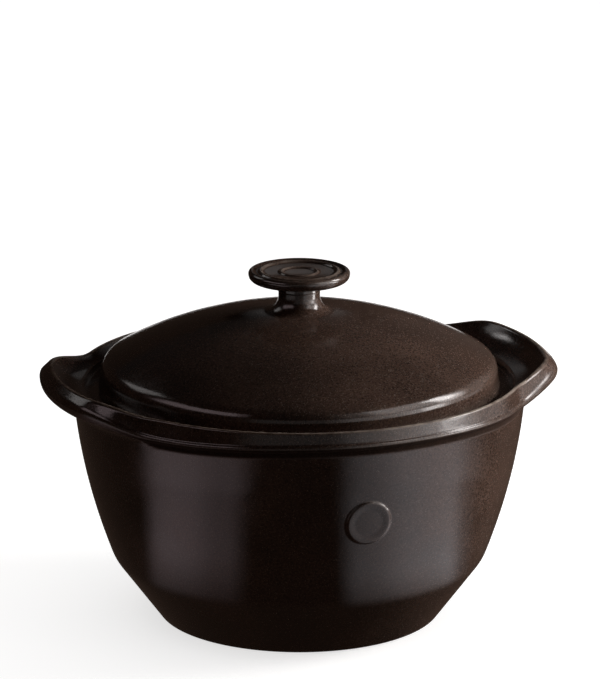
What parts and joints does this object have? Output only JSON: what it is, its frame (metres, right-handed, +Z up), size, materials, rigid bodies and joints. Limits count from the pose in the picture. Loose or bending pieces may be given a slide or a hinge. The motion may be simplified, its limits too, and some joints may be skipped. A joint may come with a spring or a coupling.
{
  "type": "ceramic casserole pot",
  "caption": "Round dark brown glazed ceramic casserole with a banded rim, pulled ear handles, a domed lid that sits inside the rim and a mushroom knob.",
  "frame": {"origin": "centre of the foot ring, on the surface that the pot stands on", "axes": "+X through the middle of one ear handle, +Z up along the pot's axis, -Y through the blank medallion on the wall"},
  "size_m": [0.289, 0.2546, 0.1964],
  "materials": {
    "pot_glaze": "semi-gloss dark brown glaze with fine flecks",
    "lid_glaze": "semi-gloss dark brown glaze with fine flecks",
    "knob_glaze": "gloss dark brown glaze"
  },
  "bodies": {
    "pot": {"pot": "pot_glaze"},
    "lid": {"lid": "lid_glaze", "knob": "knob_glaze"}
  },
  "joints": [
    {"name": "lid_lift", "type": "slide", "parent": "pot", "child": "lid", "axis": [0, 0, 1], "range_m": [0, 0.12]}
  ]
}
